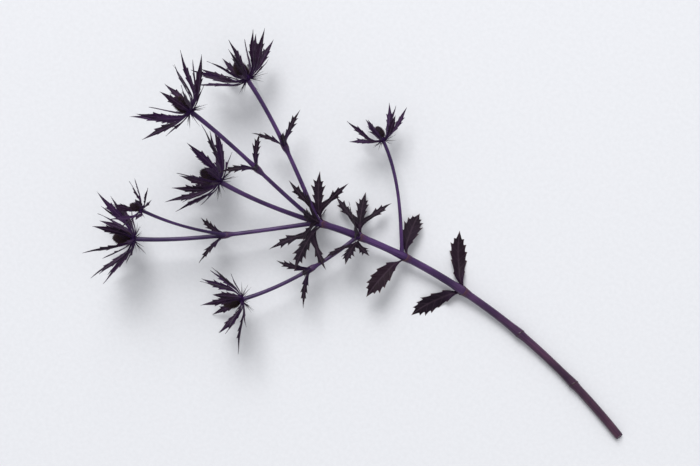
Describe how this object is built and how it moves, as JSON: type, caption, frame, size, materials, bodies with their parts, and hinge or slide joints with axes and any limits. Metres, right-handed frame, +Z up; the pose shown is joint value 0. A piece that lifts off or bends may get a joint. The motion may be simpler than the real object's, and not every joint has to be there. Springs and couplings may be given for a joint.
{
  "type": "sea holly stem",
  "caption": "Cut branching sea holly stem lying on its side, with spiny cone heads in ruffs of toothed bracts, and toothed leaves at its nodes.",
  "frame": {"origin": "middle of the underside of the box round the stem, on the surface that it lies on", "axes": "+X along the stem from its cut end to its flower heads, +Z up, +Y to the left of the stem"},
  "size_m": [0.5966, 0.3226, 0.1488],
  "materials": {
    "stem": "dyed violet stem with a satin skin",
    "cone": "matt dark florets",
    "ruff": "dyed dark purple bracts, leathery and half matt",
    "leaf": "dyed purple-black leaves, leathery and half matt"
  },
  "bodies": {
    "root": {"stem": "stem", "cone_terminal": "cone", "ruff_terminal": "ruff", "cone_left": "cone", "ruff_left": "ruff", "cone_right": "cone", "ruff_right": "ruff", "cone_upper": "cone", "ruff_upper": "ruff", "cone_lowerLeft": "cone", "ruff_lowerLeft": "ruff", "cone_lowerRight": "cone", "ruff_lowerRight": "ruff", "cone_small": "cone", "ruff_small": "ruff", "leaf_top_1": "leaf", "leaf_top_2": "leaf", "leaf_top_3": "leaf", "leaf_top_4": "leaf", "leaf_middle_1": "leaf", "leaf_middle_2": "leaf", "leaf_middle_3": "leaf", "leaf_lower_1": "leaf", "leaf_lower_2": "leaf", "leaf_foot_1": "leaf", "leaf_foot_2": "leaf", "leaf_left_1": "leaf", "leaf_left_2": "leaf", "leaf_left_3": "leaf", "leaf_right_1": "leaf", "leaf_right_2": "leaf", "leaf_right_3": "leaf", "leaf_upper_1": "leaf", "leaf_upper_2": "leaf", "leaf_upper_3": "leaf", "leaf_lowerLeft_1": "leaf", "leaf_lowerLeft_2": "leaf", "leaf_lowerLeft_3": "leaf"}
  },
  "joints": []
}
